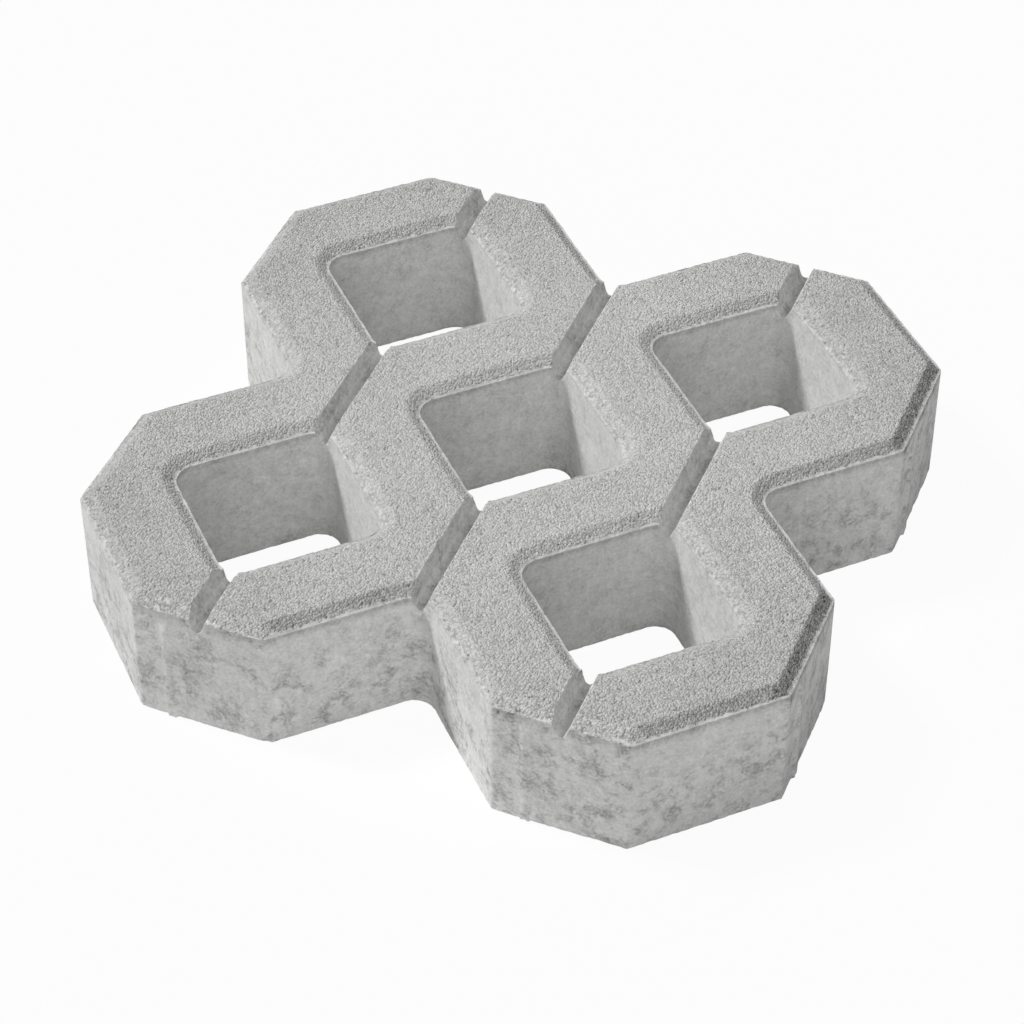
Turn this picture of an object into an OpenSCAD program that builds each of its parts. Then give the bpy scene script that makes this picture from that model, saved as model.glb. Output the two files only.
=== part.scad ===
// Grass grid paving stone, cast in one piece from dense concrete.
// Square openings stand on their corners in a lattice that runs on from stone to stone:
// five whole ones, a half one at each side and a quarter at each corner.
// Three grooves cut the top into zigzag strips, and their edges are bevelled.
// Millimetres. X and Y run along the laying grid, Z is up, the underside lies at Z = 0.

/* [Stone] */
// Laying grid of one stone, its joint included
grid = 400; // [340:10:600]
// Joint that the spacer ribs keep open beside the next stone
joint = 1.5; // [1:0.5:6]
// Height of the stone
height = 80; // [60:5:140]
// Radius of the upright corners beside the contact faces
arris_r = 4; // [1:0.5:8]

/* [Openings] */
// Thickness of the wall between two openings
wall = 51.5; // [36:0.5:70]
// Radius in the upright corners of an opening
opening_r = 12; // [4:1:24]

/* [Top edges] */
// Width of the bevel, seen from above
bevel_w = 7.5; // [3:0.5:11]
// Drop of the bevel below the top
bevel_h = 4.5; // [2:0.5:9]
// Flat lip between the foot of the bevel and the wall
lip = 1.2; // [0.4:0.2:3]

/* [Grooves] */
// Width of a groove at the top
groove_w = 12; // [6:0.5:20]
// Depth of a groove
groove_h = 12.5; // [5:0.5:24]
// Radius in the bottom of a groove
groove_r = 2.5; // [0.5:0.5:5]

/* [Spacer ribs] */
// Width of a spacer rib at its root
rib_w = 7; // [4:0.5:12]
// Slope of a rib's flanks, as the width lost to each side
rib_flank = 1.6; // [0.2:0.2:1.8]
// Height left free above a rib
rib_free = 10; // [6:1:30]
// Length of the slope at a rib's upper end
rib_run = 7; // [2:1:20]
// Distance of a rib's middle from the left end of its contact face, seen from outside
rib_edge = 18.5; // [10:0.5:24]

/* [Hidden] */
$fn = 64;
body = grid - joint;
pitch = grid / 4;
// The openings stand on their corners, so rows of them lie this far apart across their walls
row_step = grid / (2 * sqrt(2));
opening = row_step - wall;
half = opening / 2;
// An opening's corner radius stays below its half width, and a groove's below its own section
corner = min(opening_r, 0.6 * half);
groove_bottom = min(groove_r, 0.38 * groove_w, 0.38 * groove_h);
// A contact face runs between the points where the walls of two openings reach it
face_w = 2 * pitch - (opening * sqrt(2) - joint);
// Cutters run past the stone by this much, and far enough along a wall to leave it
past = 6;
reach = opening + bevel_w + lip + 4 * past;
// Width that the bevel has reached where its cutter ends above the top
bevel_over = bevel_w * (bevel_h + past) / bevel_h;

// Section that a wall's cutter follows: wall, lip and bevel, out from an inner line
function wall_section(inner, outer) = [
    [inner, -past],
    [outer, -past],
    [outer, height - bevel_h],
    [outer + lip, height - bevel_h],
    [outer + lip + bevel_over, height + past],
    [inner, height + past]
];

// Straight stretch of an opening's wall on its +X side
module straight_wall(inner, from, to) {
    translate([0, to, 0])
        rotate([90, 0, 0])
            linear_extrude(to - from)
                polygon(wall_section(inner, half));
}

// Rounded corner between the +X and the +Y wall
module round_corner() {
    translate([half - corner, half - corner, 0])
        rotate_extrude(angle = 90)
            polygon(wall_section(0, corner));
}

module whole_opening() {
    for (turn = [0 : 90 : 270])
        rotate(turn) {
            straight_wall(0, corner - half, half - corner);
            round_corner();
        }
}

// At a side only the corner that points into the stone is left of an opening
module half_opening() {
    straight_wall(-reach, -reach, half - corner);
    mirror([1, -1, 0])
        straight_wall(-reach, -reach, half - corner);
    round_corner();
}

// At a corner one wall of an opening cuts the stone off
module quarter_opening() {
    straight_wall(-reach, -reach, reach);
}

// Groove along Y: straight flanks that run smoothly into a bottom rounded in narrow flats
module groove() {
    flats = 5;
    centre_z = height - groove_h + groove_bottom;
    rise = groove_h - groove_bottom;
    touch = atan2(rise, groove_w / 2) - acos(groove_bottom / norm([groove_w / 2, rise]));
    touch_x = groove_bottom * cos(touch);
    touch_z = centre_z + groove_bottom * sin(touch);
    open_x = touch_x + (groove_w / 2 - touch_x) * (height + past - touch_z) / (height - touch_z);
    round_bottom = [
        for (step = [0 : flats])
            let (angle = touch - step * (180 + 2 * touch) / flats)
                [groove_bottom * cos(angle), centre_z + groove_bottom * sin(angle)]
    ];
    translate([0, body / 2 + past, 0])
        rotate([90, 0, 0])
            linear_extrude(body + 2 * past)
                polygon(concat([[-open_x, height + past], [open_x, height + past]], round_bottom));
}

// Bevel along the top edge of the contact faces that look along +X
module face_bevel() {
    translate([0, body / 2 + past, 0])
        rotate([90, 0, 0])
            linear_extrude(body + 2 * past)
                polygon([
                    [body / 2 - lip, height - bevel_h],
                    [body / 2 - lip - bevel_over, height + past],
                    [body / 2 + past, height + past],
                    [body / 2 + past, height - bevel_h]
                ]);
}

// Waste outside a rounded upright corner, where a contact face along Y ends and a wall turns inwards
module arris_waste() {
    run = arris_r * tan(22.5);
    face_end = [0, -run];
    wall_start = [-run / sqrt(2), run / sqrt(2)];
    translate([0, 0, -past])
        linear_extrude(height + 2 * past)
            difference() {
                polygon([
                    face_end,
                    face_end + [past, 0],
                    [past, past],
                    wall_start + [past, past],
                    wall_start
                ]);
                translate([-arris_r, -run])
                    circle(arris_r);
            }
}

// Spacer rib on a contact face that looks along +X, standing on the underside
module spacer_rib() {
    top = height - rib_free;
    intersection() {
        linear_extrude(top)
            polygon([
                [-past, -rib_w / 2],
                [0, -rib_w / 2],
                [joint, rib_flank - rib_w / 2],
                [joint, rib_w / 2 - rib_flank],
                [0, rib_w / 2],
                [-past, rib_w / 2]
            ]);
        translate([0, rib_w, 0])
            rotate([90, 0, 0])
                linear_extrude(2 * rib_w)
                    polygon([
                        [-past, 0],
                        [joint, 0],
                        [joint, top - rib_run],
                        [0, top],
                        [-past, top]
                    ]);
    }
}

// Slab with its openings and bevels, before the grooves are cut
module opened_slab() {
    difference() {
        translate([-body / 2, -body / 2, 0])
            cube([body, body, height]);
        rotate(45)
            whole_opening();
        for (turn = [0 : 90 : 270])
            rotate(turn) {
                translate([pitch, pitch, 0])
                    rotate(45)
                        whole_opening();
                translate([2 * pitch, 0, 0])
                    rotate(135)
                        half_opening();
                translate([2 * pitch, 2 * pitch, 0])
                    rotate(225)
                        quarter_opening();
            }
        for (turn = [0 : 90 : 270])
            rotate(turn)
                face_bevel();
    }
}

module paving_stone() {
    color([0.62, 0.62, 0.61])
        union() {
            difference() {
                opened_slab();
                for (column = [-1 : 1])
                    translate([column * pitch, 0, 0])
                        groove();
                for (turn = [0 : 90 : 270], row = [-1, 1], end = [0, 1])
                    rotate(turn)
                        translate([body / 2, row * pitch, 0])
                            mirror([0, end, 0])
                                translate([0, face_w / 2, 0])
                                    arris_waste();
            }
            for (turn = [0 : 90 : 270], row = [-1, 1])
                rotate(turn)
                    translate([body / 2, row * pitch - face_w / 2 + rib_edge, 0])
                        spacer_rib();
        }
}

paving_stone();
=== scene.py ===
"""Looks of the grass grid paving stone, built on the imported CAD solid.

The stone is one casting, so one piece stands for the whole CAD node. A copy of the CAD mesh is merged, and
each of its faces is filled with fine, even triangles. A node tree then gives them the relief of the casting:
sand and pores on the top, slow unevenness all over and worn edges. Lengths are in metres, in the frame of the
CAD model.
"""

import logging
import math
from dataclasses import dataclass, field
from enum import Enum
from typing import Iterable, Optional, Union

import bmesh
import bpy
import numpy as np
from mathutils import Matrix, Vector, geometry


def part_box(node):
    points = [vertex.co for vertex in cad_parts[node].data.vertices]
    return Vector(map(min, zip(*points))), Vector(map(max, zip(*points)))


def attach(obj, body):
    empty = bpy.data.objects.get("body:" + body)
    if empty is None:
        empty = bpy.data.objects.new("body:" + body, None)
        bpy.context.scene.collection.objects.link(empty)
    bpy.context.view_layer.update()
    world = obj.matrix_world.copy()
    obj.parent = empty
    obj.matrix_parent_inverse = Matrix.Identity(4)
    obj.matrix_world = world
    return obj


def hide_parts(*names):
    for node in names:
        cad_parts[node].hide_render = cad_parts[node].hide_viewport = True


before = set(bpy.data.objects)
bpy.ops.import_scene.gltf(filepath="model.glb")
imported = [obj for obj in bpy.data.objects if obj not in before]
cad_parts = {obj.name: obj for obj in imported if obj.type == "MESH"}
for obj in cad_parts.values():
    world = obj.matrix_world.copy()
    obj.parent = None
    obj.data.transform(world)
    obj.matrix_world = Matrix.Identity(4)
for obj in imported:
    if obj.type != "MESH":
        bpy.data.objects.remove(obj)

LOG = logging.getLogger("paving_stone")
MM = 0.001
Triple = tuple[float, float, float]
Span = tuple[float, float]
Socket = bpy.types.NodeSocket
Value = Union[float, int, bool, str, tuple, Socket, bpy.types.Material]
Inputs = dict[Union[str, int], Value]

# Places of a Mix node's colour sockets, because it uses their names more than once
MIX_SHARE = 0
MIX_FIRST = 6
MIX_SECOND = 7
MIX_RESULT = 2

# Upward share of the normal of a face that looks down, stands upright, slopes or lies level
FACING_DOWN = -0.9
STANDING = 0.26
SLOPING = 0.7
LEVEL = 0.99

# Share of its length by which an upright edge rises
UPRIGHT_RISE = 0.98

# Height of an even triangle with sides of 1
TRIANGLE_HEIGHT = math.sqrt(0.75)

# What the triangulation of a face keeps, and the gap in millimetres at which it takes two points as one
INSIDE_ONLY = 1
TOUCHING = 1e-6


class Zone(Enum):
    """Stretches of the surface that leave the mould differently."""

    TOP = "top"
    BEVEL = "bevel"
    LIP = "lip"
    GROOVE = "groove"
    WALL = "wall"
    OPENING = "opening"
    CONTACT = "contact"
    UNDERSIDE = "underside"

    def sandy(self) -> float:
        """Share of open sand on this stretch."""
        return 1.0 if self in (Zone.TOP, Zone.BEVEL) else 0.0

    def upright(self) -> bool:
        """Whether this stretch stands upright."""
        return self in (Zone.WALL, Zone.OPENING, Zone.CONTACT)

    def damp(self) -> float:
        """How high marks of damp rise on this stretch, as a share of their greatest height."""
        return {Zone.CONTACT: 1.0, Zone.GROOVE: 0.8, Zone.WALL: 0.6, Zone.OPENING: 0.15}.get(self, 0.0)


class Side(Enum):
    """Sides of an opening, as the camera sees them."""

    RIGHT = "right"
    NEAR = "near"
    FAR = "far"
    LEFT = "left"

    def lip_painted_shade(self) -> float:
        """Share of painted shade on the lip at this side; the lips at the lit right and near sides get most,
        which dims their light.
        """
        return {Side.RIGHT: 0.5, Side.NEAR: 0.8, Side.FAR: 0.42, Side.LEFT: 0.25}[self]


class Mark(Enum):
    """Names of the point attributes that the breaks, the relief and the finish read."""

    SANDY = "sandy"
    ARRIS = "arris"
    # Painted shade, and painted light where it is below 0, laid into the colour of the finish
    PAINTED_SHADING = "painted_shading"
    CONTACT = "contact"
    DAMP = "damp"


@dataclass(frozen=True)
class Pattern:
    """A noise in the concrete.

    Args:
        size: Length of its largest features.
        seed: Which noise it is.
        weight: How strongly it shows.
        detail: How many finer layers it has.
        roughness: Weight of the finer layers.
        distortion: How far it is stirred.
    """

    size: Value
    seed: Value
    weight: float = 1.0
    detail: float = 2.0
    roughness: float = 0.5
    distortion: float = 0.0


@dataclass
class Wiring:
    """Adds nodes to a tree and joins them.

    Args:
        tree: The node tree that is built.
        where: Places at which its patterns are read.
    """

    tree: bpy.types.NodeTree
    where: Optional[Socket] = None

    def node(self, kind: str, inputs: Optional[Inputs] = None, **settings: Value) -> bpy.types.Node:
        """Adds a node.

        Args:
            kind: Type name of the node.
            inputs: Values or sockets for its inputs, by name or place.
            settings: Properties of the node.

        Returns:
            The new node.
        """
        made = self.tree.nodes.new(kind)
        for name, value in settings.items():
            setattr(made, name, value)
        for key, value in (inputs or {}).items():
            socket = made.inputs[key]
            if isinstance(value, Socket):
                self.tree.links.new(value, socket)
            else:
                socket.default_value = value
        return made

    def math(self, operation: str, first: Value, second: Value = 0.0, third: Value = 0.0) -> Socket:
        """Adds a Math node.

        Args:
            operation: What it does with its inputs.
            first: First input.
            second: Second input.
            third: Third input.

        Returns:
            Its result.
        """
        made = self.node("ShaderNodeMath", {0: first, 1: second, 2: third}, operation=operation)
        return made.outputs[0]

    def weighed(self, parts: Iterable[tuple[Socket, Value]]) -> Socket:
        """Adds values up, each times its weight.

        Args:
            parts: The values and their weights.

        Returns:
            Their sum.
        """
        whole = None
        for value, weight in parts:
            part = self.math("MULTIPLY", value, weight)
            whole = part if whole is None else self.math("ADD", whole, part)
        return whole

    def scaled(self, vector: Value, factor: Value) -> Socket:
        """Multiplies a vector or a colour by a number."""
        return self.node("ShaderNodeVectorMath", {0: vector, "Scale": factor}, operation="SCALE").outputs[0]

    def stretched(self, factors: Triple) -> Socket:
        """Multiplies the places by a number along each axis."""
        return self.node("ShaderNodeVectorMath", {0: self.where, 1: factors}, operation="MULTIPLY").outputs[0]

    def length(self, vector: Value) -> Socket:
        """Gives the length of a vector."""
        return self.node("ShaderNodeVectorMath", {0: vector}, operation="LENGTH").outputs["Value"]

    def blend(self, share: Socket, first: Triple, second: Triple) -> Socket:
        """Mixes two colours.

        Args:
            share: Share of the second colour.
            first: Colour where the share is 0.
            second: Colour where the share is 1.

        Returns:
            The mixed colour.
        """
        inputs = {MIX_SHARE: share, MIX_FIRST: (*first, 1.0), MIX_SECOND: (*second, 1.0)}
        return self.node("ShaderNodeMix", inputs, data_type="RGBA").outputs[MIX_RESULT]

    def fade(self, value: Value, span: Span) -> Socket:
        """Adds a smooth step.

        Args:
            value: What is stepped.
            span: Values at which the result is 0 and 1.

        Returns:
            The step, from 0 to 1.
        """
        made = self.node(
            "ShaderNodeMapRange",
            {"Value": value, "From Min": span[0], "From Max": span[1]},
            interpolation_type="SMOOTHSTEP",
        )
        return made.outputs["Result"]

    def noise(self, pattern: Pattern, where: Optional[Socket] = None) -> Socket:
        """Adds a noise about 0.

        Args:
            pattern: The noise.
            where: Where it is read, if not at the tree's own places.

        Returns:
            The noise without its weight, mostly within 0.35 of 0.
        """
        size = pattern.size
        made = self.node(
            "ShaderNodeTexNoise",
            {
                "Vector": self.where if where is None else where,
                "W": pattern.seed,
                "Scale": 1.0 / size if isinstance(size, float) else self.math("DIVIDE", 1.0, size),
                "Detail": pattern.detail,
                "Roughness": pattern.roughness,
                "Distortion": pattern.distortion,
            },
            noise_dimensions="4D",
        )
        return self.math("SUBTRACT", made.outputs[0], 0.5)

    def grains(self, size: float) -> tuple[Socket, Socket]:
        """Adds grains packed side by side.

        Args:
            size: Width of a grain.

        Returns:
            Height over a grain about 0, largest in its middle, and a chance value about 0 for each grain.
        """
        made = self.node("ShaderNodeTexVoronoi", {"Vector": self.where, "Scale": 1.0 / size})
        chance = self.node("ShaderNodeSeparateXYZ", {0: made.outputs["Color"]}).outputs["X"]
        return (
            self.math("SUBTRACT", 0.5, made.outputs["Distance"]),
            self.math("SUBTRACT", chance, 0.5),
        )


@dataclass(frozen=True)
class OpenSand:
    """Sandy skin of the top: grains side by side, with pores between them.

    Args:
        colour: Its colour.
        grain: Width of a grain.
        grain_tone_and_shade: How much the grains differ in lightness at random, and how much painted shade
            darkens the creases between them.
        grain_height: Height of a grain in the finest relief, in millimetres.
        pores: Pattern of the pores, weighed by how much they darken the sand.
        pore_edge: Values of that pattern at which a pore begins and is full.
        patches: Pattern of the paler and darker patches.
        grit: Pattern of the grit on the grains, weighed in millimetres.
        outer_darkening: How much the outer bars are darkened.
        outer_darkening_run: Distances from the middle at which that begins and is full.
    """

    colour: Triple = (0.553, 0.553, 0.547)
    grain: float = 1.2 * MM
    grain_tone_and_shade: float = 0.35
    grain_height: float = 0.9
    pores: Pattern = Pattern(2.1 * MM, seed=7.7, weight=0.3, detail=1.0)
    pore_edge: Span = (0.1, 0.22)
    patches: Pattern = Pattern(38 * MM, seed=9.7, weight=0.2)
    grit: Pattern = Pattern(0.9 * MM, seed=19.7, weight=0.4, detail=1.0)
    outer_darkening: float = 0.115
    outer_darkening_run: Span = (110 * MM, 240 * MM)

    def shade(self, wires: Wiring, grain: Socket, chance: Socket) -> Socket:
        """Lightness of the sand about its mean.

        Args:
            wires: The material's tree.
            grain: Height over the grains.
            chance: Chance value of each grain.

        Returns:
            The lightness, with a random tone and painted shade in the creases for the grains, pores and
            patches, and less of it towards the outer bars.
        """
        out = wires.length(wires.stretched((1.0, 1.0, 0.0)))
        return wires.weighed(
            [
                # The grain height lightens the middle of each grain and darkens the creases between grains:
                # painted shade, on top of a random tone for each grain
                (wires.math("ADD", grain, chance), self.grain_tone_and_shade),
                (wires.noise(self.patches), self.patches.weight),
                # Darker towards the outer bars
                (wires.fade(out, self.outer_darkening_run), -self.outer_darkening),
                (wires.fade(wires.noise(self.pores), self.pore_edge), -self.pores.weight),
            ]
        )

    def relief(self, wires: Wiring, grain: Socket) -> Socket:
        """Height of the sand's finest relief, in millimetres."""
        return wires.weighed([(grain, self.grain_height), (wires.noise(self.grit), self.grit.weight)])


@dataclass(frozen=True)
class SmoothPaste:
    """Pale cement skin of the walls, with drag marks and marks of damp.

    Args:
        colour: Its colour.
        streaks: Pattern of the drag marks.
        drag: Share of a height that counts in the drag marks, which draws them out upwards.
        specks: Pattern of the fine specks.
        haze: Pattern of the light haze.
        broad: Pattern of the slow change from place to place.
        film: Pattern of the finest relief, weighed in millimetres.
        web: Pattern along whose zero lines the rings of damp run.
        ring_edge: Distances of its values from 0 at which a ring begins and is full.
        cloud: Pattern of the places that damp has reached, weighed by its blots.
        ring_cloud: Values of the cloud at which rings begin and are full.
        blot_cloud: Values of the cloud at which blots begin and are full.
        mottling: How much the specks break the marks of damp up.
        stain: How much the marks darken the paste.
        stain_top: Height at which the marks have faded on the dampest stretches.
        stain_wave: How far the broad pattern shifts that height.
        stain_fade: Height over which the marks fade.
        stain_rest: Share of the marks that is left above it.
    """

    colour: Triple = (0.72, 0.72, 0.713)
    streaks: Pattern = Pattern(3.0 * MM, seed=11.7, weight=0.12)
    drag: float = 0.08
    specks: Pattern = Pattern(1.5 * MM, seed=13.7, weight=0.5, detail=1.0)
    haze: Pattern = Pattern(6 * MM, seed=19.7, weight=0.42, detail=3.0)
    broad: Pattern = Pattern(45 * MM, seed=15.7, weight=0.14)
    film: Pattern = Pattern(2.4 * MM, seed=21.7, weight=0.12, detail=3.0)
    web: Pattern = Pattern(9 * MM, seed=17.7, detail=3.0, roughness=0.55, distortion=0.6)
    ring_edge: Span = (0.1, 0.005)
    cloud: Pattern = Pattern(12 * MM, seed=23.7, weight=0.65, detail=4.0, roughness=0.6)
    ring_cloud: Span = (-0.11, 0.07)
    blot_cloud: Span = (0.02, 0.13)
    mottling: float = 1.5
    stain: float = 0.22
    stain_top: float = 124 * MM
    stain_wave: float = 60 * MM
    stain_fade: float = 45 * MM
    stain_rest: float = 0.3

    def shade(self, wires: Wiring, damp: Socket) -> Socket:
        """Lightness of the paste about its mean.

        Args:
            wires: The material's tree.
            damp: How high marks of damp rise, as a share of their greatest height.

        Returns:
            Drag marks, fine specks, a light haze, a slow change and the marks of damp.
        """
        streaks = wires.noise(self.streaks, wires.stretched((1.0, 1.0, self.drag)))
        specks = wires.noise(self.specks)
        broad = wires.noise(self.broad)
        height = wires.node("ShaderNodeSeparateXYZ", {0: wires.where}).outputs["Z"]
        level = wires.math("ADD", height, wires.math("MULTIPLY", broad, self.stain_wave))
        reach = wires.math("MULTIPLY", damp, self.stain_top)
        low = wires.fade(wires.math("SUBTRACT", reach, level), (0.0, self.stain_fade))
        spread = wires.math("MULTIPLY_ADD", low, 1.0 - self.stain_rest, self.stain_rest)
        return wires.weighed(
            [
                (streaks, self.streaks.weight),
                (specks, self.specks.weight),
                (wires.noise(self.haze), self.haze.weight),
                (broad, self.broad.weight),
                (wires.math("MULTIPLY", self._marks(wires, specks), spread), -self.stain),
            ]
        )

    def _marks(self, wires: Wiring, specks: Socket) -> Socket:
        """Strength of the marks of damp where they are full.

        Args:
            wires: The material's tree.
            specks: The fine specks.

        Returns:
            Rings and blots, broken up by the specks.
        """
        web = wires.noise(self.web)
        cloud = wires.noise(self.cloud)
        rings = wires.fade(wires.math("ABSOLUTE", web), self.ring_edge)
        rings = wires.math("MULTIPLY", rings, wires.fade(cloud, self.ring_cloud))
        marks = wires.math("MULTIPLY_ADD", wires.fade(cloud, self.blot_cloud), self.cloud.weight, rings)
        return wires.math("MULTIPLY", marks, wires.math("MULTIPLY_ADD", specks, -self.mottling, 1.0))

    def relief(self, wires: Wiring) -> Socket:
        """Height of the paste's finest relief, in millimetres."""
        return wires.math("MULTIPLY", wires.noise(self.film), self.film.weight)


@dataclass(frozen=True)
class CastConcrete:
    """Grey pressed concrete: smooth pale paste on the walls, open sand on the top.

    Args:
        sand: The open sand.
        paste: The smooth paste.
        ragged: Pattern of the ragged border between them.
        border: Shares of sand at which the border begins and ends.
        painted_shading: How much the painted shade darkens either, and how much the painted light below 0
            makes it paler.
        blotching: How much the ragged pattern breaks the painted shading up.
        roughness: Roughness of both.
        gloss: Specular level of both.
        bump: Height that 1 stands for in the finest relief.
    """

    sand: OpenSand = OpenSand()
    paste: SmoothPaste = SmoothPaste()
    ragged: Pattern = Pattern(2.4 * MM, seed=5.7, weight=1.6)
    border: Span = (0.25, 0.75)
    painted_shading: float = 0.45
    blotching: float = 1.2
    roughness: float = 0.93
    gloss: float = 0.25
    bump: float = 1.0 * MM

    def build(self) -> bpy.types.Material:
        """Makes the material.

        Returns:
            The concrete, on Object coordinates and the point attributes of the piece.
        """
        made = bpy.data.materials.new("cast_concrete")
        made.use_nodes = True
        made.node_tree.nodes.clear()
        wires = Wiring(made.node_tree)
        wires.where = wires.node("ShaderNodeTexCoord").outputs["Object"]
        ragged = wires.noise(self.ragged)
        border = wires.math("MULTIPLY_ADD", ragged, self.ragged.weight, self._mark(wires, Mark.SANDY))
        sandy = wires.fade(border, self.border)
        smooth = wires.math("SUBTRACT", 1.0, sandy)
        grain, chance = wires.grains(self.sand.grain)
        shade = wires.weighed(
            [
                (self.sand.shade(wires, grain, chance), sandy),
                (self.paste.shade(wires, self._mark(wires, Mark.DAMP)), smooth),
            ]
        )
        # Painted shade, and painted light where the mark is below 0, broken up by the ragged pattern
        blotch = wires.math("MULTIPLY_ADD", ragged, self.blotching, 1.0)
        darkening = wires.math("MULTIPLY", blotch, -self.painted_shading)
        painted_shading = wires.math("MULTIPLY", self._mark(wires, Mark.PAINTED_SHADING), darkening)
        light = wires.math("ADD", 1.0, wires.math("ADD", shade, painted_shading))
        height = wires.weighed(
            [
                (self.sand.relief(wires, grain), sandy),
                (self.paste.relief(wires), smooth),
            ]
        )
        bump = wires.node("ShaderNodeBump", {"Height": height, "Distance": self.bump, "Strength": 1.0})
        shader = wires.node(
            "ShaderNodeBsdfPrincipled",
            {
                "Base Color": wires.scaled(wires.blend(sandy, self.paste.colour, self.sand.colour), light),
                "Roughness": self.roughness,
                "Specular IOR Level": self.gloss,
                "Normal": bump.outputs[0],
            },
        )
        wires.node("ShaderNodeOutputMaterial", {"Surface": shader.outputs[0]})
        return made

    @staticmethod
    def _mark(wires: Wiring, mark: Mark) -> Socket:
        """Reads a point attribute of the piece."""
        return wires.node("ShaderNodeAttribute", attribute_name=mark.value).outputs["Fac"]


@dataclass(frozen=True)
class StoneSizes:
    """Sizes of the stone that its surface and its dirt go by.

    Args:
        top: Height of the stone.
        contact: Distance of the contact faces from the middle.
        bevel_drop: Drop of the bevels below the top.
        bevel_width: Width of the bevels, seen from above.
        bevel_steep: Width of the steep part of a bevel, below its full upper edge.
        lip: Width of the flat lip between a bevel and a wall.
        pitch: Distance of the outer openings from the middle, along the grid.
        slack: How far off a line or face a point still counts as on it.
    """

    top: float
    contact: float
    bevel_drop: float = 4.5 * MM
    bevel_width: float = 7.5 * MM
    bevel_steep: float = 6.4 * MM
    lip: float = 1.2 * MM
    pitch: float = 100 * MM
    slack: float = 0.1 * MM

    @property
    def lip_height(self) -> float:
        """Height of the lips, at the foot of the bevels."""
        return self.top - self.bevel_drop

    @property
    def lip_line(self) -> float:
        """Distance from the middle at which the lips above the contact faces begin."""
        return self.contact - self.lip

    @property
    def bevel_line(self) -> float:
        """Distance from the middle at which the bevels above the contact faces begin."""
        return self.lip_line - self.bevel_width

    def opening(self, place: Vector) -> Span:
        """Finds the opening that lies nearest to a point.

        Args:
            place: Where the point lies.

        Returns:
            Middle of the opening, in the lattice that runs on past the stone.
        """
        first = round((place.x + place.y) / (2 * self.pitch))
        second = round((place.x - place.y) / (2 * self.pitch))
        return (first + second) * self.pitch, (first - second) * self.pitch

    def in_opening(self, place: Vector) -> bool:
        """Whether a point on a wall or its bevel belongs to one of the five whole openings."""
        return max(map(abs, self.opening(place))) < 1.5 * self.pitch

    def side(self, place: Vector) -> Side:
        """Says at which side of its opening a point on a wall, lip or bevel lies.

        Args:
            place: Where the point lies.

        Returns:
            The side.
        """
        x, y = self.opening(place)
        if place.x > x:
            return Side.RIGHT if place.y > y else Side.NEAR
        return Side.FAR if place.y > y else Side.LEFT


@dataclass(frozen=True)
class UnderEdgeShade:
    """Painted shade under an edge, which grows less on the way down.

    Args:
        start: Share of painted shade right under the edge.
        run: Height over which a whole share is lost.
    """

    start: float
    run: float

    def at(self, below: float) -> float:
        """Share of painted shade at a depth below the edge."""
        return self.start - below / self.run


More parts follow.
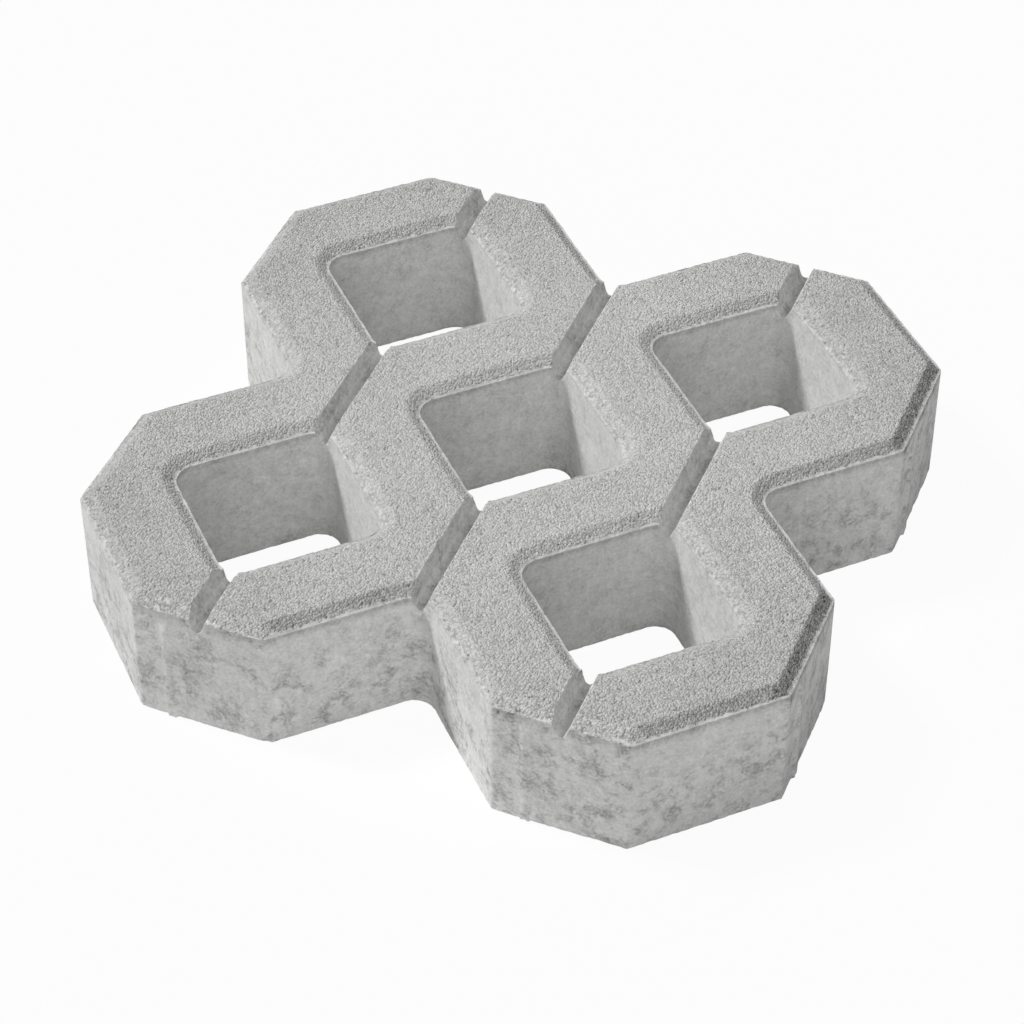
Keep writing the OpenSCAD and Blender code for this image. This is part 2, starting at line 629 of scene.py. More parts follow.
@dataclass(frozen=True)
class SandAndPaintedShading:
    """Shares of open sand, and of painted shade and painted light, at the points of the stone.

    The end faces are the contact faces that the grooves run out at, and the right ones look along +X.

    Args:
        sizes: The stone's sizes.
        end_bevel_sand: Sand on the bevels above the end faces.
        right_bevel_sand: Sand on the bevels at the right and near sides of an opening, where the key light
            falls; the paler paste that takes its place is partly painted light.
        end_lip_sand: Sand on the lips above the end faces.
        lip_edge_sand: Sand where another lip meets its bevel.
        lip_sand: Sand on the rest of such a lip.
        right_face_bevel: Painted shade on the bevels above the right contact faces, which face away from the
            key light.
        outer_bevel: Painted shade on the bevels of half and quarter openings that look the same way.
        end_lip: Painted shade on the lips above the end faces, a dark line along their edge.
        right_face_lip: Painted shade on the lips above the right contact faces.
        groove: Painted shade in the grooves.
        groove_flank: Painted shade on the left flank of a groove, which the key light doesn't reach.
        flank_start: Distance from the middle of a groove at which its left flank begins.
        lit_opening: Painted light on the right wall of an opening, where the key light falls, below 0 so that
            its paste is paler.
        lit_wall: Painted shade on the outer walls that look the same way, which dims them.
        inside: Painted shade on the other walls of an opening, darkest at their top.
        right_shade_under_lip: Painted shade under the lips above the right contact faces.
        contact_shade_under_lip: Painted shade under the lips above the other contact faces.
        wall_shade_under_lip: Painted shade under the other lips.
    """

    sizes: StoneSizes
    end_bevel_sand: float = 0.7
    right_bevel_sand: float = 0.8
    end_lip_sand: float = 0.5
    lip_edge_sand: float = 0.3
    lip_sand: float = 0.2
    right_face_bevel: float = 0.85
    outer_bevel: float = 0.3
    end_lip: float = 0.25
    right_face_lip: float = 0.55
    groove: float = 0.1
    groove_flank: float = 0.4
    flank_start: float = 3 * MM
    lit_opening: float = -0.06
    lit_wall: float = 0.06
    inside: UnderEdgeShade = UnderEdgeShade(0.2, 150 * MM)
    right_shade_under_lip: UnderEdgeShade = UnderEdgeShade(1.05, 6.7 * MM)
    contact_shade_under_lip: UnderEdgeShade = UnderEdgeShade(0.5, 14 * MM)
    wall_shade_under_lip: UnderEdgeShade = UnderEdgeShade(0.85, 6.5 * MM)

    def sand(self, place: Vector, zones: list[Zone]) -> float:
        """Says how sandy the surface is at a point.

        Args:
            place: Where the point lies.
            zones: Stretches of the surface that meet there.

        Returns:
            The share of open sand, from 0 to 1.
        """
        if set(zones) == {Zone.BEVEL} and abs(place.y) > self.sizes.bevel_line:
            return self.end_bevel_sand
        # Less sand on the bevels that the key light falls on, so more of the paler paste: partly painted
        # light
        if set(zones) == {Zone.BEVEL} and self.sizes.side(place) in (Side.RIGHT, Side.NEAR):
            return self.right_bevel_sand
        if Zone.LIP not in zones:
            return sum(zone.sandy() for zone in zones) / max(1, len(zones))
        if abs(place.y) > self.sizes.lip_line - self.sizes.slack:
            return self.end_lip_sand
        return self.lip_edge_sand if Zone.BEVEL in zones else self.lip_sand

    def painted_shading_at(self, place: Vector, zones: list[Zone]) -> float:
        """Says how much painted shade lies at a point, with painted light below 0.

        Args:
            place: Where the point lies.
            zones: Stretches of the surface that meet there.

        Returns:
            The share of painted shade, up to 1. Below 0 it is painted light, which makes the paste paler on
            the lit right walls of the openings.
        """
        if set(zones) == {Zone.BEVEL}:
            return self._on_bevel(place)
        # Painted shade in the grooves, more on the left flank that the key light doesn't reach
        if set(zones) == {Zone.GROOVE}:
            across = place.x - self.sizes.pitch * round(place.x / self.sizes.pitch)
            return self.groove_flank if across < -self.flank_start else self.groove
        if Zone.LIP in zones:
            return self._on_lip(place)
        below = self.sizes.lip_height - place.z
        if Zone.UNDERSIDE in zones or below < self.sizes.slack:
            return 0.0
        return self._on_wall(place, zones, below)

    def _on_bevel(self, place: Vector) -> float:
        """Says how much painted shade lies on a bevel.

        Args:
            place: Where the point lies.

        Returns:
            The share of painted shade, which is 0 on most bevels.
        """
        rim = self.sizes.bevel_line
        # Painted shade on the bevels that face away from the key light: above the right contact faces, and at
        # the far and left sides of the outer openings
        if place.x > rim:
            return self.right_face_bevel
        if place.x < -rim or abs(place.y) > rim or self.sizes.in_opening(place):
            return 0.0
        return self.outer_bevel if self.sizes.side(place) in (Side.FAR, Side.LEFT) else 0.0

    def _on_lip(self, place: Vector) -> float:
        """Says how much painted shade lies on a lip.

        Args:
            place: Where the point lies.

        Returns:
            The share of painted shade.
        """
        rim = self.sizes.lip_line - self.sizes.slack
        # Painted shade on the lips: a dark line above the end faces, and more on the lit sides to dim them
        if abs(place.y) > rim:
            return self.end_lip
        return self.right_face_lip if place.x > rim else self.sizes.side(place).lip_painted_shade()

    def _on_wall(self, place: Vector, zones: list[Zone], below: float) -> float:
        """Says how much painted shade lies on a wall or a contact face, with painted light below 0.

        Args:
            place: Where the point lies.
            zones: Stretches of the surface that meet there.
            below: Depth below the lips.

        Returns:
            The share of painted shade.
        """
        # Painted light on the lit right walls of the openings, and painted shade that dims the lit outer
        # walls
        if Zone.CONTACT not in zones and self.sizes.side(place) is Side.RIGHT:
            return self.lit_opening if Zone.OPENING in zones else self.lit_wall
        # Painted shade under the lips, and near the top of the opening walls
        if place.x > self.sizes.contact - self.sizes.slack:
            shade_under_lip = self.right_shade_under_lip
        else:
            shade_under_lip = self.contact_shade_under_lip if Zone.CONTACT in zones else self.wall_shade_under_lip
        return max(self.inside.at(below) if Zone.OPENING in zones else 0.0, shade_under_lip.at(below))


@dataclass
class CastSurface:
    """Fills the faces of the CAD solid with fine, even triangles.

    Args:
        sizes: The stone's sizes.
        sand_and_painted_shading: Sand, painted shade and painted light on the stone.
        fine: Side of a triangle on the top and its bevels.
        wide: Side of a triangle in the middle of a wall.
        foot: Side of a triangle at the bottom edges.
        under: Side of a triangle on the underside.
        growth: How fast the sides grow away from an edge.
        row_step: Distance between two rows of points on a wall, in sides.
        row_edge: Least length of an upright edge that follows those rows, in fine sides.
        room: Least distance of a point from the outline of its face, in sides.
        merging: Gap that is closed between the loose triangles of the CAD mesh.
        bend: Angle in degrees below which two faces count as one.
        sliver: Area of a face that is dropped, per length of its outline.
        level_gap: How far off its height a flat face may lie.
        sharp: Angle in degrees from which an edge is sharp.
        points: Places of the points made so far.
        triangles: Numbers of the points of each triangle.
        zones: Stretches of the surface that meet at each point.
    """

    sizes: StoneSizes
    sand_and_painted_shading: SandAndPaintedShading
    fine: float = 1.5 * MM
    wide: float = 4.2 * MM
    foot: float = 2.4 * MM
    under: float = 10 * MM
    growth: float = 0.14
    row_step: float = 0.9
    row_edge: float = 4.0
    room: float = 0.55
    merging: float = 0.005 * MM
    bend: float = 0.2
    sliver: float = 0.01 * MM
    level_gap: float = 0.2 * MM
    sharp: float = 48.0
    points: list[Vector] = field(default_factory=list)
    triangles: list[tuple[int, ...]] = field(default_factory=list)
    zones: list[list[Zone]] = field(default_factory=list)

    def build(self, node: bpy.types.Object) -> bpy.types.Mesh:
        """Makes the fine mesh.

        Args:
            node: The CAD node, which is left as it is.

        Returns:
            A closed mesh with the point attributes of Mark.
        """
        shell = self._merged_copy(node)
        heights = self._levels()
        for vert in shell.verts:
            self._add_point(vert.co.copy())
        along = {edge.index: self._split(edge, heights) for edge in shell.edges}
        for face in shell.faces:
            self._fill(face, along, heights)
        shell.free()
        self._fill_out_bevels()
        mesh = bpy.data.meshes.new("cast_surface")
        mesh.from_pydata(self.points, [], self.triangles)
        self._mark_points(mesh)
        return mesh

    def spacing(self, height: float) -> float:
        """Side of a triangle at a height.

        Args:
            height: Height above the underside.

        Returns:
            The side.
        """
        below = max(0.0, self.sizes.lip_height - height)
        return min(self.wide, self.fine + self.growth * below, self.foot + self.growth * max(0.0, height))

    def _add_point(self, place: Vector) -> int:
        """Adds a point.

        Args:
            place: Where it lies.

        Returns:
            Its number.
        """
        self.points.append(place)
        self.zones.append([])
        return len(self.points) - 1

    def _merged_copy(self, node: bpy.types.Object) -> bmesh.types.BMesh:
        """Joins the loose triangles of a node, dissolves what lies in one plane and clears slivers.

        Args:
            node: The CAD node.

        Returns:
            A closed shell of flat faces.
        """
        shell = bmesh.new()
        shell.from_mesh(node.data)
        bmesh.ops.remove_doubles(shell, verts=shell.verts[:], dist=self.merging)
        bmesh.ops.dissolve_limit(
            shell,
            angle_limit=math.radians(self.bend),
            use_dissolve_boundaries=False,
            verts=shell.verts[:],
            edges=shell.edges[:],
        )
        slivers = [face for face in shell.faces if face.calc_area() < self.sliver * face.calc_perimeter()]
        longest = dict.fromkeys(max(face.edges, key=lambda edge: edge.calc_length()) for face in slivers)
        bmesh.ops.dissolve_edges(shell, edges=list(longest), use_verts=False)
        shell.verts.index_update()
        shell.edges.index_update()
        shell.normal_update()
        return shell

    def _levels(self) -> list[float]:
        """Heights of the rows of points on a wall.

        Returns:
            The heights, from the foot of the bevel to the underside.
        """
        start = self.sizes.lip_height
        rows = [start]
        while rows[-1] > 0.0:
            rows.append(rows[-1] - self.row_step * self.spacing(rows[-1]))
        scale = start / (start - rows[-1])
        return [start - (start - row) * scale for row in rows]

    def _split(self, edge: bmesh.types.BMEdge, heights: list[float]) -> list[int]:
        """Places points along an edge.

        Args:
            edge: An edge of the shell.
            heights: Rows of points on the walls.

        Returns:
            Numbers of the points, from the edge's first vertex to its second.
        """
        start, end = (vert.co for vert in edge.verts)
        run = end - start
        if abs(run.z) > UPRIGHT_RISE * run.length and run.length > self.row_edge * self.fine:
            low, high = sorted((start.z, end.z))
            rows = [z for z in heights if low + self.spacing(low) / 2 < z < high - self.fine / 2]
            shares = sorted((z - start.z) / run.z for z in rows)
        else:
            count = max(1, round(run.length / self.spacing((start.z + end.z) / 2)))
            shares = [step / count for step in range(1, count)]
        return [self._add_point(start + run * share) for share in shares]

    def _zone(self, face: bmesh.types.BMFace) -> Zone:
        """Says which stretch of the surface a face belongs to.

        Args:
            face: A face of the shell.

        Returns:
            Its zone.
        """
        tilt = face.normal.z
        middle = face.calc_center_median()
        if tilt < FACING_DOWN:
            return Zone.UNDERSIDE
        if abs(tilt) < STANDING:
            if max(abs(middle.x), abs(middle.y)) > self.sizes.contact - self.sizes.slack:
                return Zone.CONTACT
            return Zone.OPENING if self.sizes.in_opening(middle) else Zone.WALL
        if tilt > LEVEL and middle.z > self.sizes.top - self.level_gap:
            return Zone.TOP
        if tilt > LEVEL and middle.z > self.sizes.lip_height - self.level_gap:
            return Zone.LIP
        if tilt > SLOPING and middle.z > self.sizes.lip_height:
            return Zone.BEVEL
        return Zone.GROOVE

    def _fill(self, face: bmesh.types.BMFace, along: dict[int, list[int]], heights: list[float]) -> None:
        """Fills one flat face with triangles.

        Args:
            face: A face of the shell.
            along: Points along each edge of the shell.
            heights: Rows of points on the walls.
        """
        zone = self._zone(face)
        outline: list[int] = []
        for loop in face.loops:
            between = along[loop.edge.index]
            outline.append(loop.vert.index)
            outline.extend(between if loop.edge.verts[0] == loop.vert else reversed(between))
        normal = face.normal.copy()
        if abs(normal.z) > LEVEL:
            across = Vector((1.0, 0.0, 0.0))
        else:
            across = Vector((0.0, 0.0, 1.0)).cross(normal).normalized()
        upward = normal.cross(across)
        origin = self.points[outline[0]].copy()
        offsets = [self.points[number] - origin for number in outline]
        flat = np.array([(offset.dot(across), offset.dot(upward)) for offset in offsets])
        inner = self._inner_points(flat, zone, origin.z, heights)
        placed = [Vector(pair) / MM for pair in (*flat, *inner)]
        ring = list(range(len(outline)))
        spots, _, faces, sources, _, _ = geometry.delaunay_2d_cdt(placed, [], [ring], INSIDE_ONLY, TOUCHING)
        numbers = {made: outline[old[0]] for made, old in enumerate(sources) if old and old[0] < len(outline)}
        for corners in faces:
            for corner in corners:
                if corner not in numbers:
                    spot = spots[corner] * MM
                    numbers[corner] = self._add_point(origin + across * spot.x + upward * spot.y)
                    self.zones[numbers[corner]].append(zone)
            self.triangles.append(tuple(numbers[corner] for corner in corners))
        for number in outline:
            self.zones[number].append(zone)

    def _inner_points(self, flat: np.ndarray, zone: Zone, base: float, heights: list[float]) -> np.ndarray:
        """Rows of points inside an outline, every second one shifted by half a side.

        Args:
            flat: The outline in its own plane.
            zone: Stretch of the surface.
            base: Height of the plane's origin.
            heights: Rows of points on the walls.

        Returns:
            The points in the same plane.
        """
        low, high = flat.min(0), flat.max(0)
        if zone.upright():
            rows = [(z - base, self.spacing(z)) for z in heights if low[1] < z - base < high[1]]
        else:
            side = self.under if zone is Zone.UNDERSIDE else self.fine
            step = side * TRIANGLE_HEIGHT
            rows = [(v, side) for v in np.arange(low[1] + step / 2, high[1], step)]
        kept = [np.zeros((0, 2))]
        for number, (v, side) in enumerate(rows):
            shift = (number % 2 + 0.5) / 2
            u = np.arange(low[0] + shift * side, high[0], side)
            row = np.stack([u, np.full_like(u, v)], axis=1)
            kept.append(row[self._clear_inside(row, flat, self.room * side)])
        return np.concatenate(kept)

    @staticmethod
    def _clear_inside(spots: np.ndarray, outline: np.ndarray, room: float) -> np.ndarray:
        """Says which spots lie inside an outline and clear of its points.

        Args:
            spots: Points in the plane, all at one height.
            outline: Corners of the outline in order.
            room: Least distance to a corner.

        Returns:
            One truth value for each spot.
        """
        if not len(spots):
            return np.zeros(0, bool)
        after = np.roll(outline, -1, axis=0)
        height = spots[0, 1]
        crossing = (outline[:, 1] > height) != (after[:, 1] > height)
        first = outline[crossing]
        run = after[crossing] - first
        cuts = first[:, 0] + run[:, 0] * (height - first[:, 1]) / run[:, 1]
        inside = (cuts[None, :] > spots[:, :1]).sum(1) % 2 == 1
        near = outline[np.abs(outline[:, 1] - height) < room]
        if len(near):
            gap = np.hypot(spots[:, :1] - near[None, :, 0], height - near[None, :, 1]).min(1)
            inside &= gap > room
        return inside

    def _fill_out_bevels(self) -> None:
        """Fills the bevels out, steeper from their foot and with a full upper edge."""
        top, drop = self.sizes.top, self.sizes.bevel_drop
        for place, zones in zip(self.points, self.zones):
            if set(zones) == {Zone.BEVEL}:
                run = (place.z - top + drop) / drop * self.sizes.bevel_width
                place.z = min(top, top - drop * (1.0 - run / self.sizes.bevel_steep))

    def _mark_points(self, mesh: bpy.types.Mesh) -> None:
        """Writes the point attributes and the sharp edges.

        Args:
            mesh: The fine mesh, before its relief.
        """
        met = list(zip(self.points, self.zones))
        marks = {
            Mark.SANDY: [self.sand_and_painted_shading.sand(place, zones) for place, zones in met],
            Mark.ARRIS: self._sharpen(mesh),
            # Painted shade and painted light for the colour of the finish
            Mark.PAINTED_SHADING: [self.sand_and_painted_shading.painted_shading_at(place, zones) for place, zones in met],
            Mark.CONTACT: [zones.count(Zone.CONTACT) / max(1, len(zones)) for zones in self.zones],
            Mark.DAMP: [max((zone.damp() for zone in zones), default=0.0) for zones in self.zones],
        }
        for mark, values in marks.items():
            mesh.attributes.new(mark.value, "FLOAT", "POINT").data.foreach_set("value", values)

    def _sharpen(self, mesh: bpy.types.Mesh) -> np.ndarray:
        """Marks the sharp edges.

        Args:
            mesh: The fine mesh, before its relief.

        Returns:
            1 for each point on a sharp edge and 0 for each other one.
        """
        arris = np.zeros(len(self.points), np.float32)
        shell = bmesh.new()
        shell.from_mesh(mesh)
        for edge in shell.edges:
            if edge.calc_face_angle(0.0) >= math.radians(self.sharp):
                edge.smooth = False
                arris[[vert.index for vert in edge.verts]] = 1.0
        shell.to_mesh(mesh)
        shell.free()
        return arris


@dataclass
class EdgeChips:
    """Small breaks along the bottom edges of the contact faces, from handling.

    Args:
        count: How many breaks there are.
        radius: Smallest and largest radius of the hollow that a break leaves.
        depth: Smallest and largest depth of a break.
        seed: Which breaks they are.
        foot: Height up to which a point lies on a bottom edge.
        share: Share of the faces at such a point that are contact faces, at least.
    """

    count: int = 12
    radius: Span = (4 * MM, 10 * MM)
    depth: Span = (0.3 * MM, 0.9 * MM)
    seed: int = 12
    foot: float = 0.5 * MM
    share: float = 0.3

    def cut(self, mesh: bpy.types.Mesh) -> int:
        """Hollows the edges of the mesh.

        Args:
            mesh: The fine mesh, whose sharp edges are marked.

        Returns:
            How many points were moved.
        """
        dice = np.random.default_rng(self.seed)
        spots = np.empty(len(mesh.vertices) * 3)
        mesh.vertices.foreach_get("co", spots)
        spots = spots.reshape(-1, 3)
        slants = np.empty(len(mesh.vertices) * 3)
        mesh.vertices.foreach_get("normal", slants)
        slants = slants.reshape(-1, 3)
        contact = np.empty(len(mesh.vertices))
        mesh.attributes[Mark.CONTACT.value].data.foreach_get("value", contact)
        feet = np.flatnonzero((contact > self.share) & (spots[:, 2] < self.foot))
        moved = np.zeros(len(spots), bool)
        for number in dice.choice(feet, self.count, replace=False):
            radius = dice.uniform(*self.radius)
            depth = dice.uniform(*self.depth)
            centre = spots[number] + slants[number] * (radius - depth)
            away = spots - centre
            gap = np.linalg.norm(away, axis=1)
            hit = gap < radius
            spots[hit] = centre + away[hit] / gap[hit, None] * radius
            moved |= hit
        mesh.vertices.foreach_set("co", spots.ravel())
        self._soften(mesh, moved)
        mesh.update()
        return int(moved.sum())

    @staticmethod
    def _soften(mesh: bpy.types.Mesh, moved: np.ndarray) -> None:
        """Takes the sharp mark off edges inside a break.

        Args:
            mesh: The fine mesh.
            moved: Whether each point was moved by a break.
        """
        ends = np.empty(len(mesh.edges) * 2, np.int64)
        mesh.edges.foreach_get("vertices", ends)
        inside = moved[ends.reshape(-1, 2)].all(1)
        for number in np.flatnonzero(inside):
            mesh.edges[int(number)].use_edge_sharp = False


@dataclass
class CastRelief:
    """Relief of the casting, as a node tree over the fine mesh.

    Args:
        grain_height: Height range of the sand on the top.
        grain_size: Length of its largest features.
        pore_depth: Depth of the pores between the grains.
        pore_size: Length of the largest features of their pattern, in grain sizes.
        pore_edge: Values of that pattern at which a pore begins and is full.
        swell_height: Height range of the slow unevenness of all faces.
        swell_size: Length of its largest features.
        wear_depth: Depth to which the edges are worn.
        wear_size: Length of the largest features of the wear.
        wear_edge: Values of its pattern at which the wear begins and is full.
        seed: Which relief it is.
        seed_steps: Steps from the seed of the grains to those of the pores, the swells and the wear.
    """

    grain_height: float = 0.5 * MM
    grain_size: float = 2.6 * MM
    pore_depth: float = 0.35 * MM
    pore_size: float = 1.6
    pore_edge: Span = (0.14, 0.28)
    swell_height: float = 0.8 * MM
    swell_size: float = 55 * MM
    wear_depth: float = 0.5 * MM
    wear_size: float = 3 * MM
    wear_edge: Span = (-0.2, 0.3)
    seed: float = 2.3
    seed_steps: Triple = (3.0, 5.0, 7.0)

    def press(self, piece: bpy.types.Object, finish: bpy.types.Material) -> None:
        """Runs the tree on a piece and leaves its result as a plain mesh.

        Args:
            piece: The piece, whose mesh has the point attributes of Mark.
            finish: Its material.
        """
        tree, sockets = self._tree()
        step = piece.modifiers.new("relief", "NODES")
        step.node_group = tree
        for name, value in self._inputs().items():
            step[sockets[name]] = value
        step[sockets["Finish"]] = finish
        piece.update_tag()
        shown = piece.evaluated_get(bpy.context.evaluated_depsgraph_get())
        made = bpy.data.meshes.new_from_object(shown)
        made.name = piece.name
        piece.modifiers.remove(step)
        piece.data = made

    def _inputs(self) -> dict[str, float]:
        """Values of the tree's inputs by name, apart from the finish."""
        return {
            "Grain Height": self.grain_height,
            "Grain Size": self.grain_size,
            "Pore Depth": self.pore_depth,
            "Swell Height": self.swell_height,
            "Wear Depth": self.wear_depth,
            "Seed": self.seed,
        }

    def _tree(self) -> tuple[bpy.types.NodeTree, dict[str, str]]:
        """Builds the tree.

        Returns:
            The tree and the identifiers of its inputs by name.
        """
        tree = bpy.data.node_groups.new("cast_relief", "GeometryNodeTree")
        tree.interface.new_socket("Geometry", in_out="OUTPUT", socket_type="NodeSocketGeometry")
        tree.interface.new_socket("Geometry", in_out="INPUT", socket_type="NodeSocketGeometry")
        kinds = {name: "NodeSocketFloat" for name in self._inputs()}
        kinds["Finish"] = "NodeSocketMaterial"
        sockets = {}
        for name, kind in kinds.items():
            sockets[name] = tree.interface.new_socket(name, in_out="INPUT", socket_type=kind).identifier
        wires = Wiring(tree)
        wires.where = wires.node("GeometryNodeInputPosition").outputs[0]
        given = wires.node("NodeGroupInput").outputs
        normal = wires.node("GeometryNodeInputNormal").outputs[0]
        push = wires.scaled(normal, self._height(wires, given))
        moved = wires.node("GeometryNodeSetPosition", {"Geometry": given["Geometry"], "Offset": push})
        smooth = wires.node(
            "GeometryNodeSetShadeSmooth",
            {"Geometry": moved.outputs[0], "Shade Smooth": True},
        )
        plain = wires.node("GeometryNodeRealizeInstances", {"Geometry": smooth.outputs[0]})
        dressed = wires.node(
            "GeometryNodeSetMaterial",
            {"Geometry": plain.outputs[0], "Material": given["Finish"]},
        )
        wires.node("NodeGroupOutput", {"Geometry": dressed.outputs[0]})
        return tree, sockets

    @staticmethod
    def _mark(wires: Wiring, mark: Mark) -> Socket:
        """Reads a point attribute of the mesh."""
        made = wires.node("GeometryNodeInputNamedAttribute", {"Name": mark.value}, data_type="FLOAT")
        return made.outputs["Attribute"]

    def _height(self, wires: Wiring, given: bpy.types.NodeOutputs) -> Socket:
        """Height of the relief along the normal.

        Args:
            wires: The tree.
            given: Inputs of the tree.

        Returns:
            Sand and pores on the top, slow swells everywhere, less the wear of the edges.
        """
        size, seed = given["Grain Size"], given["Seed"]
        pore_seed, swell_seed, wear_seed = (wires.math("ADD", seed, step) for step in self.seed_steps)
        grain = wires.noise(Pattern(size, seed, detail=1.5))
        hollow = wires.noise(Pattern(wires.math("MULTIPLY", size, self.pore_size), pore_seed))
        slow = wires.noise(Pattern(self.swell_size, swell_seed, detail=3.0))
        bite = wires.noise(Pattern(self.wear_size, wear_seed))
        high = wires.math("MULTIPLY", grain, given["Grain Height"])
        pore = wires.math("MULTIPLY", wires.fade(hollow, self.pore_edge), given["Pore Depth"])
        sand = wires.math("MULTIPLY", wires.math("SUBTRACT", high, pore), self._mark(wires, Mark.SANDY))
        swell = wires.math("MULTIPLY", slow, given["Swell Height"])
        worn = wires.math("MULTIPLY", wires.fade(bite, self.wear_edge), given["Wear Depth"])
        wear = wires.math("MULTIPLY", worn, self._mark(wires, Mark.ARRIS))
        return wires.math("SUBTRACT", wires.math("ADD", sand, swell), wear)


@dataclass
class PavingStone:
    """The stone itself, in one piece.

    Args:
        node: Name of the CAD node that it stands for.
        body: CAD body that it rides on.
        slot: Name of a material slot; not used.
        rib_height: Height of the spacer ribs on the contact faces.
        finish: Its concrete.
        relief: Its relief.
        chips: Breaks along its edges.
    """

    node: str = "paving_stone"
    body: str = "root"
    slot: str = "concrete"
    rib_height: float = 1.5 * MM
    finish: CastConcrete = field(default_factory=CastConcrete)
    relief: CastRelief = field(default_factory=CastRelief)
    chips: EdgeChips = field(default_factory=EdgeChips)

    def build(self) -> bpy.types.Object:
        """Builds the piece and dresses it.

        Returns:
            The finished piece.
        """
        low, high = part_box(self.node)
        sizes = StoneSizes(top=high.z - low.z, contact=high.x - self.rib_height)
        mesh = CastSurface(sizes, SandAndPaintedShading(sizes)).build(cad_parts[self.node])
        LOG.info("fine mesh: %d points, %d triangles", len(mesh.vertices), len(mesh.polygons))
        LOG.info("chipped edges: %d points moved", self.chips.cut(mesh))
        piece = bpy.data.objects.new("cast_stone", mesh)
        bpy.context.scene.collection.objects.link(piece)
        self.dress(piece)
        return piece

    def dress(self, piece: bpy.types.Object) -> None:
        """Gives the piece its relief and finish and puts it in the CAD node's place.

        Args:
            piece: The piece with its fine mesh.
        """
        self.relief.press(piece, self.finish.build())
        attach(piece, self.body)
        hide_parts(self.node)


@dataclass(frozen=True)
class Lamp:
    """A lamp far away.

    Args:
        name: Its name.
        toward: Direction from the stone to the lamp.
        strength: Strength of its light.
        spread: Angle that the lamp fills, in degrees.
        distance: Distance of the lamp from the stone, which its light doesn't depend on.
    """

    name: str
    toward: Triple
    strength: float
    spread: float
    distance: float = 3.0

    def build(self) -> None:
        """Hangs the lamp."""
        data = bpy.data.lights.new(self.name, "SUN")
        data.energy = self.strength
        data.angle = math.radians(self.spread)
        lamp = bpy.data.objects.new(self.name, data)
        lamp.rotation_euler = Vector(self.toward).to_track_quat("Z", "Y").to_euler()
        lamp.location = Vector(self.toward).normalized() * self.distance
        bpy.context.scene.collection.objects.link(lamp)


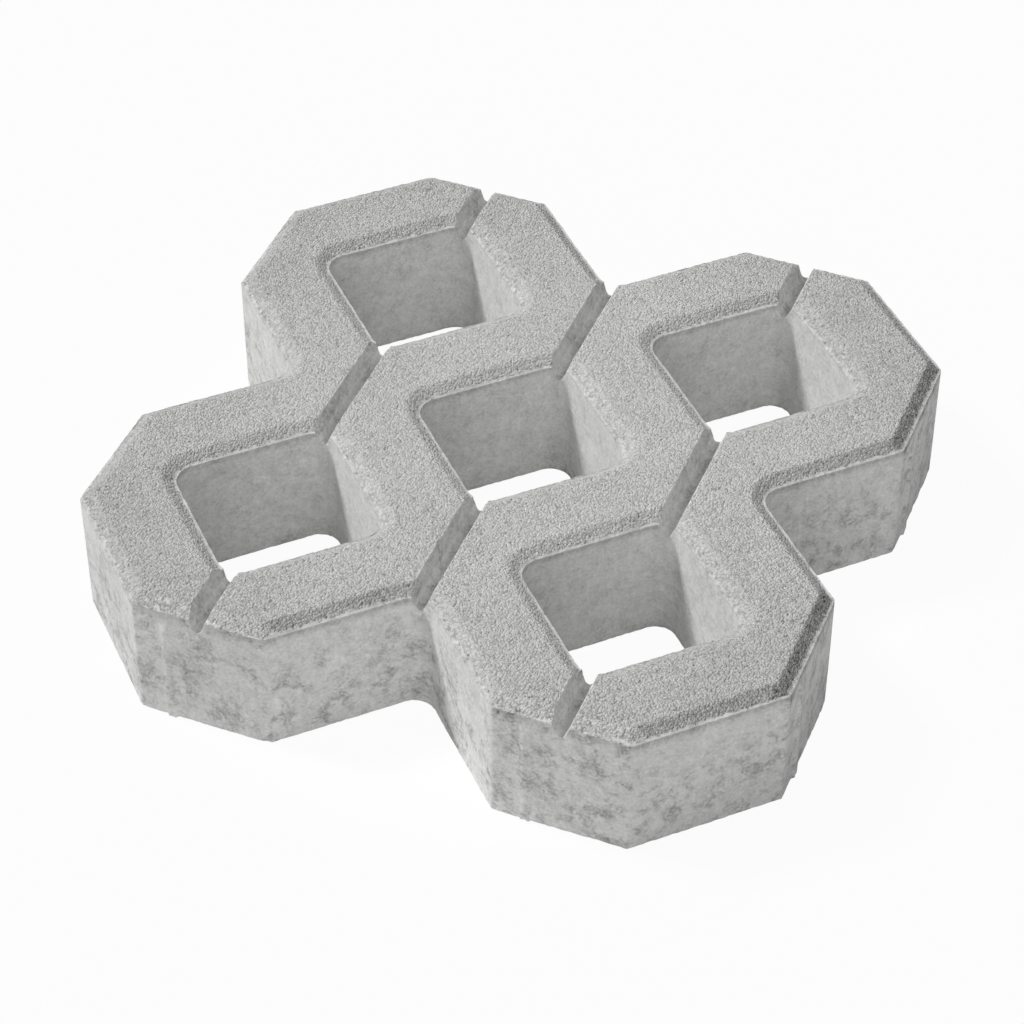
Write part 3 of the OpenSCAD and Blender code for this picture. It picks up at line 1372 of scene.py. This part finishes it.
@dataclass
class Studio:
    """Floor, light and camera.

    Args:
        lens: Focal length of the camera in millimetres.
        sensor: Width of its sensor in millimetres.
        target: Point that the camera looks at.
        distance: Distance of the camera from it.
        azimuth: Turn of the camera from the view along +Y, in degrees.
        elevation: Height of the camera above the horizon, in degrees.
        lamps: The lamps.
        ambient: Strength of the even light from all round.
        near_floor: Lightness of the floor in and close round the stone.
        far_floor: Lightness of the floor farther out.
        floor_fade: Distances from the middle between which the floor's lightness changes.
        floor_reach: Distance of the floor's edges from the middle.
        floor_drop: Depth of the floor below the underside.
        shadow_share: How much of the floor's shading the camera sees.
    """

    lens: float = 108.576
    sensor: float = 36.0
    target: Triple = (5.016 * MM, -25.535 * MM, 40 * MM)
    distance: float = 1694.64 * MM
    azimuth: float = 21.714
    elevation: float = 42.338
    lamps: tuple[Lamp, ...] = (
        Lamp("key_light", toward=(-0.64, 0.0, 0.768), strength=2.6, spread=12),
        Lamp("front_light", toward=(0.42, -0.87, 0.25), strength=0.87, spread=60),
        Lamp("back_light", toward=(-0.3, 0.9, 0.35), strength=0.3, spread=60),
    )
    ambient: float = 0.25
    near_floor: float = 0.95
    far_floor: float = 0.6
    floor_fade: Span = (0.17, 0.26)
    floor_reach: float = 4.0
    floor_drop: float = 0.4 * MM
    shadow_share: float = 0.05

    def build(self) -> None:
        """Builds all of it."""
        bpy.context.scene.view_settings.view_transform = "Standard"
        self._camera()
        self._world()
        self._floor()
        for lamp in self.lamps:
            lamp.build()
        LOG.info("studio: camera at %s", tuple(round(v, 4) for v in bpy.context.scene.camera.location))

    def _camera(self) -> None:
        """Places the camera."""
        turn, rise = math.radians(self.azimuth), math.radians(self.elevation)
        back = Vector((math.sin(turn) * math.cos(rise), -math.cos(turn) * math.cos(rise), math.sin(rise)))
        right = Vector((math.cos(turn), math.sin(turn), 0.0))
        data = bpy.data.cameras.new("camera")
        data.sensor_width = self.sensor
        data.lens = self.lens
        camera = bpy.data.objects.new("camera", data)
        axes = Matrix((right, back.cross(right), back)).transposed()
        camera.matrix_world = Matrix.LocRotScale(Vector(self.target) + back * self.distance, axes, None)
        bpy.context.scene.collection.objects.link(camera)
        bpy.context.scene.camera = camera

    @staticmethod
    def _seen(wires: Wiring) -> Socket:
        """Finds the rays that show a surface as it is seen.

        Args:
            wires: The tree of a material or of the world.

        Returns:
            1 for rays that reach the camera straight or by way of gloss and glass, and 0 for the others.
        """
        path = wires.node("ShaderNodeLightPath").outputs
        either = wires.math("MAXIMUM", path["Is Camera Ray"], path["Is Glossy Ray"])
        return wires.math("MAXIMUM", either, path["Is Transmission Ray"])

    def _world(self) -> None:
        """Lights the scene evenly, before a white background."""
        world = bpy.data.worlds.new("studio")
        world.use_nodes = True
        world.node_tree.nodes.clear()
        wires = Wiring(world.node_tree)
        seen = self._seen(wires)
        strength = wires.math("ADD", wires.math("MULTIPLY", seen, 1.0 - self.ambient), self.ambient)
        light = wires.node("ShaderNodeBackground", {"Color": (1.0, 1.0, 1.0, 1.0), "Strength": strength})
        wires.node("ShaderNodeOutputWorld", {"Surface": light.outputs[0]})
        bpy.context.scene.world = world

    def _floor(self) -> None:
        """Lays a pale floor that keeps a little of the stone's shadow."""
        mesh = bpy.data.meshes.new("floor")
        reach = self.floor_reach
        corners = [(-reach, -reach), (reach, -reach), (reach, reach), (-reach, reach)]
        mesh.from_pydata([(x, y, -self.floor_drop) for x, y in corners], [], [(0, 1, 2, 3)])
        floor = bpy.data.objects.new("floor", mesh)
        bpy.context.scene.collection.objects.link(floor)
        made = bpy.data.materials.new("floor_white")
        made.use_nodes = True
        made.node_tree.nodes.clear()
        wires = Wiring(made.node_tree)
        share = wires.math("MULTIPLY", self._seen(wires), 1.0 - self.shadow_share)
        away = wires.length(wires.node("ShaderNodeTexCoord").outputs["Object"])
        paper = wires.blend(wires.fade(away, self.floor_fade), (self.near_floor,) * 3, (self.far_floor,) * 3)
        matt = wires.node("ShaderNodeBsdfDiffuse", {"Color": paper})
        white = wires.node("ShaderNodeEmission", {"Color": (1.0, 1.0, 1.0, 1.0), "Strength": 1.0})
        mixed = wires.node("ShaderNodeMixShader", {0: share, 1: matt.outputs[0], 2: white.outputs[0]})
        wires.node("ShaderNodeOutputMaterial", {"Surface": mixed.outputs[0]})
        mesh.materials.append(made)


def main() -> None:
    """Builds the stone and the studio."""
    logging.basicConfig(level=logging.INFO, format="%(name)s: %(message)s")
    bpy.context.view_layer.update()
    stone = PavingStone().build()
    LOG.info("piece %s: %d triangles", stone.name, len(stone.data.polygons))
    Studio().build()


if __name__ == "__main__":
    main()
